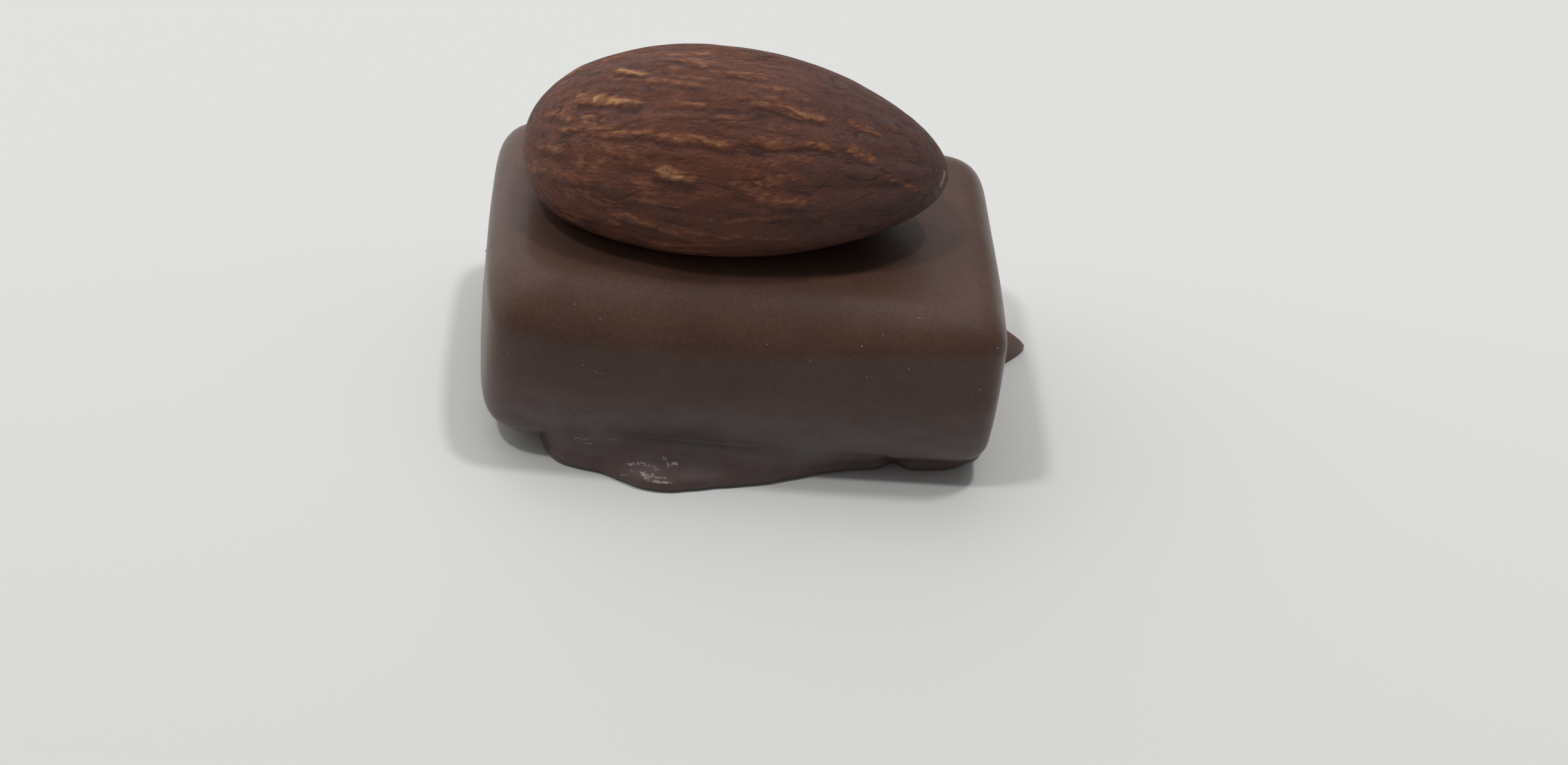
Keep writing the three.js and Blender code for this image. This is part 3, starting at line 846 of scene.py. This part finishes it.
def make_scuffs(chocolate, material):
    """Every pale mark that shows, and a few like them on the sides that don't."""
    surface = BVHTree.FromObject(chocolate, bpy.context.evaluated_depsgraph_get())
    shake = np.random.default_rng(SCUFF_SEED)
    mesh = bmesh.new()
    for width, *path in SCUFFS:
        add_scuff(mesh, surface, path, width, shake)
    spots = [chocolate_at(surface, pixel) for pixel in CRUMBS]
    for place, lift in spots + hidden_spots(surface, shake):
        size = shake.uniform(*CRUMB_SIZE) * shake.uniform(CRUMB_NARROWEST, 1, 3)
        add_crumb(mesh, place, lift, Vector(shake.normal(0, 1, 3)), size, shake)
    data = bpy.data.meshes.new("scuffs_and_crumbs")
    mesh.to_mesh(data)
    mesh.free()
    scuffs = bpy.data.objects.new("scuffs_and_crumbs", data)
    bpy.context.collection.objects.link(scuffs)
    scuffs.data.materials.append(material)
    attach(scuffs, "root")


# Materials

# Softened steps of a map range, and colour mixing
SOFT = {"interpolation_type": "SMOOTHSTEP"}
TINT = {"data_type": "RGBA"}


def colour(code):
    """Linear colour from an sRGB hex value."""
    parts = [int(code[i:i + 2], 16) / 255 for i in (1, 3, 5)]
    linear = [p / 12.92 if p <= 0.04045 else ((p + 0.055) / 1.055) ** 2.4 for p in parts]
    return (*linear, 1.0)


def in_use(sockets, name):
    """The socket of this name that the node's settings leave in use, or the first one in use."""
    return next(socket for socket in sockets if socket.enabled and name in (None, socket.name))


def add_node(tree, kind, inputs, result=None, **settings):
    """Adds a node with its settings and links and gives its result; an input is a value or a result."""
    node = tree.nodes.new(kind)
    for name, value in settings.items():
        setattr(node, name, value)
    for name, value in inputs.items():
        socket = node.inputs[name] if isinstance(name, int) else in_use(node.inputs, name)
        if isinstance(value, bpy.types.NodeSocket):
            tree.links.new(value, socket)
        else:
            socket.default_value = value
    return in_use(node.outputs, result)


def speckle(tree, place, pitch, detail, low=0.0, high=1.0):
    """Blurred spots from low to high; place and pitch are in millimetres."""
    scaled = add_node(tree, "ShaderNodeVectorMath", {0: place, 1: pitch}, operation="DIVIDE")
    cloud = add_node(tree, "ShaderNodeTexNoise", {"Vector": scaled, "Scale": 1.0, "Detail": detail})
    faint, full = CLOUD_RANGE
    levels = {"Value": cloud, "From Min": faint, "From Max": full, "To Min": low, "To Max": high}
    return add_node(tree, "ShaderNodeMapRange", levels, **SOFT)


def cracks(tree, place, pitch, width):
    """Thin wandering lines, where noise passes its middle; place and pitch are in millimetres."""
    scaled = add_node(tree, "ShaderNodeVectorMath", {0: place, 1: pitch}, operation="DIVIDE")
    cloud = add_node(tree, "ShaderNodeTexNoise", {"Vector": scaled, "Scale": 1.0, "Detail": 1.0})
    middle = add_node(tree, "ShaderNodeMath", {0: cloud, 1: 0.5}, operation="SUBTRACT")
    away = add_node(tree, "ShaderNodeMath", {0: middle}, operation="ABSOLUTE")
    levels = {"Value": away, "From Min": 0.0, "From Max": width, "To Min": 1.0, "To Max": 0.0}
    return add_node(tree, "ShaderNodeMapRange", levels, **SOFT)


def paint_over(tree, below, above, amount, low=0.0, high=1.0, most=1.0):
    """Lays a colour over another where an amount climbs from low to high."""
    levels = {"Value": amount, "From Min": low, "From Max": high, "To Min": 0.0, "To Max": most}
    cover = add_node(tree, "ShaderNodeMapRange", levels)
    return add_node(tree, "ShaderNodeMix", {"Factor": cover, "A": below, "B": above}, **TINT)


def new_material(name):
    material = bpy.data.materials.new(name)
    material.use_nodes = True
    tree = material.node_tree
    return material, tree, tree.nodes["Principled BSDF"]


def place_in_mm(tree):
    """The shaded point in the piece's own coordinates, in millimetres."""
    metres = add_node(tree, "ShaderNodeTexCoord", {}, "Object")
    return add_node(tree, "ShaderNodeVectorMath", {0: metres, "Scale": 1 / MM}, operation="SCALE")


def milk_chocolate():
    """Set milk chocolate, poured and cooled: a satin fat surface that mirrors pale surroundings softly,
    faintly mottled, and greyed low on its walls, most at the front, by a thin fat bloom together with a
    painted reflection of the pale floor."""
    material, tree, shader = new_material("milk_chocolate")
    place = place_in_mm(tree)
    along = {axis: add_node(tree, "ShaderNodeSeparateXYZ", {"Vector": place}, axis) for axis in "XYZ"}
    body = paint_over(tree, colour("#50392F"), colour("#573E34"), speckle(tree, place, MOTTLE_PITCH, 3.0))
    # The crystals of set cocoa butter, drawn about ten times as coarse as they are so that they show
    body = paint_over(tree, body, colour("#34231D"), speckle(tree, place, CRYSTAL_PITCH, 2.0), most=0.24)
    # Fat bloom and painted reflection of the pale floor: a bluish-grey veil low on the walls, most at the
    # front
    bloom_and_reflection = speckle(tree, place, BLOOM_AND_REFLECTION_PITCH, 4.0, 0.6, 1.0)
    for axis, low, high, at_low, at_high in BLOOM_AND_REFLECTION_SHARES:
        spot = along[axis]
        levels = {"Value": spot, "From Min": low, "From Max": high, "To Min": at_low, "To Max": at_high}
        share = add_node(tree, "ShaderNodeMapRange", levels, **SOFT)
        bloom_and_reflection = add_node(tree, "ShaderNodeMath", {0: bloom_and_reflection, 1: share}, operation="MULTIPLY")
    body = paint_over(tree, body, colour("#8D919C"), bloom_and_reflection, most=BLOOM_AND_REFLECTION_COVER)
    # Painted light: the thin tail of the spur is painted paler for the light that falls on it and shines
    # through it
    body = paint_over(tree, body, colour("#7E6154"), along["X"], *SPUR_PAINTED_LIGHT, most=0.45)
    tree.links.new(body, shader.inputs["Base Color"])
    tree.links.new(speckle(tree, place, GLOSS_PITCH, 2.0, 0.52, 0.58), shader.inputs["Roughness"])
    shader.inputs["IOR"].default_value = 1.3
    shader.inputs["Coat Weight"].default_value = 0.7
    tree.links.new(speckle(tree, place, GLOSS_PITCH, 2.0, 0.29, 0.32), shader.inputs["Coat Roughness"])
    shader.inputs["Coat IOR"].default_value = 1.25
    dimples = speckle(tree, place, DIMPLE_PITCH, 3.0)
    surface = add_node(tree, "ShaderNodeBump", {"Height": dimples, "Distance": DIMPLE_DEPTH * MM})
    for name in ("Normal", "Coat Normal"):
        tree.links.new(surface, shader.inputs[name])
    return material


def scraped_chocolate():
    """Scraped chocolate: dry crumbs of fat and sugar, matt and much paler than the smooth coat."""
    material, tree, shader = new_material("scraped_chocolate")
    tint = speckle(tree, place_in_mm(tree), CRUMB_TINT_PITCH, 3.0)
    tree.links.new(paint_over(tree, colour("#6C625E"), colour("#9C938E"), tint), shader.inputs["Base Color"])
    shader.inputs["Roughness"].default_value = 0.85
    shader.inputs["Specular IOR Level"].default_value = 0.2
    return material


def duller_tip(tree, grain):
    """Rises towards the kernel's tip, in spots."""
    along = add_node(tree, "ShaderNodeSeparateXYZ", {"Vector": grain}, "X")
    levels = {"From Min": TIP_DULL["from"], "From Max": TIP_DULL["to"], "To Max": TIP_DULL["most"]}
    share = add_node(tree, "ShaderNodeMapRange", {"Value": along, **levels}, **SOFT)
    spots = speckle(tree, grain, TIP_DULL["pitch"], 3.0, 0.6, 1.0)
    return add_node(tree, "ShaderNodeMath", {0: share, 1: spots}, operation="MULTIPLY")


def skin_cracks(tree, grain):
    """Thin lines along the skin that break off here and there."""
    lines = cracks(tree, grain, CRACK_PITCH, CRACK_WIDTH)
    breaks = speckle(tree, grain, CRACK_BREAK_PITCH, 2.0, 0.0, 0.9)
    return add_node(tree, "ShaderNodeMath", {0: lines, 1: breaks}, operation="MULTIPLY")


def almond_skin():
    """Dry roasted seed skin: dull purple-brown, rubbed tan on its crests, dark in its grooves and in painted
    shade below its streaks.
    """
    material, tree, shader = new_material("almond_skin")
    grain = add_node(tree, "ShaderNodeAttribute", {}, "Vector", attribute_name="grain")
    pale, groove_and_shade, chip = (
        add_node(tree, "ShaderNodeAttribute", {}, "Fac", attribute_name=name) for name in SKIN_MASKS
    )
    tears = speckle(tree, grain, TEAR_PITCH, 4.0, -0.24, 0.2)
    torn = add_node(tree, "ShaderNodeMath", {0: pale, 1: tears}, operation="ADD")
    lines = skin_cracks(tree, grain)
    # Cracks, and the lines beside the streaks that are partly sunken furrows and partly painted shade, take
    # the dark coat
    dark = add_node(tree, "ShaderNodeMath", {0: lines, 1: groove_and_shade}, operation="MAXIMUM")
    skin = paint_over(tree, colour("#4C2F29"), colour("#5C3628"), speckle(tree, grain, BODY_PITCH, 3.0))
    tan = paint_over(tree, colour("#7E5034"), colour("#956745"), speckle(tree, grain, TAN_PITCH, 3.0))
    # Each coat: its colour, what it follows, the range over which it comes in, and its most cover
    coats = [
        ("#683D2D", speckle(tree, grain, BLUSH_PITCH, 4.0), 0.0, 1.0, 0.7),
        ("#4D3B3A", duller_tip(tree, grain), 0.0, 1.0, 1.0),
        ("#724531", torn, 0.15, 0.5, 0.9),
        (tan, torn, 0.45, 0.9, 1.0),
        ("#B3875F", torn, 0.85, 1.35, 1.0),
        ("#301D18", dark, 0.15, 0.8, 0.6),
        ("#38241F", speckle(tree, grain, DUST_PITCH, 2.0), 0.0, 1.0, 0.25),
        ("#98806C", chip, 0.0, 1.0, 1.0),
    ]
    for tint, amount, low, high, most in coats:
        coat = colour(tint) if isinstance(tint, str) else tint
        skin = paint_over(tree, skin, coat, amount, low, high, most)
    tree.links.new(skin, shader.inputs["Base Color"])
    tree.links.new(speckle(tree, grain, SKIN_GLOSS_PITCH, 2.0, 0.55, 0.75), shader.inputs["Roughness"])
    shader.inputs["Specular IOR Level"].default_value = 0.32
    pits = speckle(tree, grain, PIT_PITCH, 4.0)
    height = add_node(tree, "ShaderNodeMath", {0: pits, 1: lines}, operation="SUBTRACT")
    wrinkles = {"Height": height, "Strength": 0.6, "Distance": WRINKLE_DEPTH * MM}
    tree.links.new(add_node(tree, "ShaderNodeBump", wrinkles), shader.inputs["Normal"])
    return material


def matt_white_paint():
    """Matt white paint, rolled on: plain and without gloss, and a little greyer towards the front, which is
    painted shade where the light falls off.
    """
    material, tree, shader = new_material("matt_white_paint")
    depth = add_node(tree, "ShaderNodeSeparateXYZ", {"Vector": place_in_mm(tree)}, "Y")
    # Painted shade: greyer towards the front, where the light falls off
    tint = paint_over(tree, colour("#D3D3D1"), colour("#DADAD8"), depth, *FLOOR_PAINTED_SHADE)
    tree.links.new(tint, shader.inputs["Base Color"])
    shader.inputs["Roughness"].default_value = 0.9
    shader.inputs["Specular IOR Level"].default_value = 0.2
    return material


# Floor and light

def make_floor():
    corners = [(x * FLOOR_HALF, y * FLOOR_HALF, 0) for x, y in ((-1, -1), (1, -1), (1, 1), (-1, 1))]
    floor = new_object("floor", corners, [(0, 1, 2, 3)])
    floor.data.materials.append(matt_white_paint())


def make_lamps():
    for name, (run_x, run_y, power) in LAMPS.items():
        data = bpy.data.lights.new(name, "AREA")
        data.shape = "DISK"
        data.size = LAMP_DIAMETER
        data.energy = power
        lamp = bpy.data.objects.new(name, data)
        towards = Vector((-run_x, -run_y, 1)).normalized()
        lamp.location = towards * LAMP_DISTANCE
        lamp.rotation_euler = towards.to_track_quat("Z", "Y").to_euler()
        lamp.visible_glossy = False
        bpy.context.collection.objects.link(lamp)


def make_room():
    """A pale room, brighter on the window's side and dark at the front."""
    world = bpy.data.worlds.new("room")
    world.use_nodes = True
    tree = world.node_tree
    place = add_node(tree, "ShaderNodeTexCoord", {}, "Generated")
    fades = []
    for direction, low, high, at_low, at_high in ROOM_SIDES:
        facing = add_node(tree, "ShaderNodeVectorMath", {0: place, 1: direction}, operation="DOT_PRODUCT")
        levels = {"Value": facing, "From Min": low, "From Max": high, "To Min": at_low, "To Max": at_high}
        fades.append(add_node(tree, "ShaderNodeMapRange", levels, **SOFT))
    window, ceiling, dark_front = fades
    bright = add_node(tree, "ShaderNodeMath", {0: window, 1: ceiling}, operation="ADD")
    glow = add_node(tree, "ShaderNodeMath", {0: bright, 1: dark_front}, operation="MULTIPLY")
    back = tree.nodes["Background"]
    back.inputs["Color"].default_value = colour("#FFFFFF")
    tree.links.new(glow, back.inputs["Strength"])
    bpy.context.scene.world = world


bpy.context.scene.view_settings.view_transform = "Standard"
make_camera()
make_floor()
make_lamps()
make_room()
chocolate = make_chocolate(milk_chocolate())
make_scuffs(chocolate, scraped_chocolate())
make_almond(almond_skin())
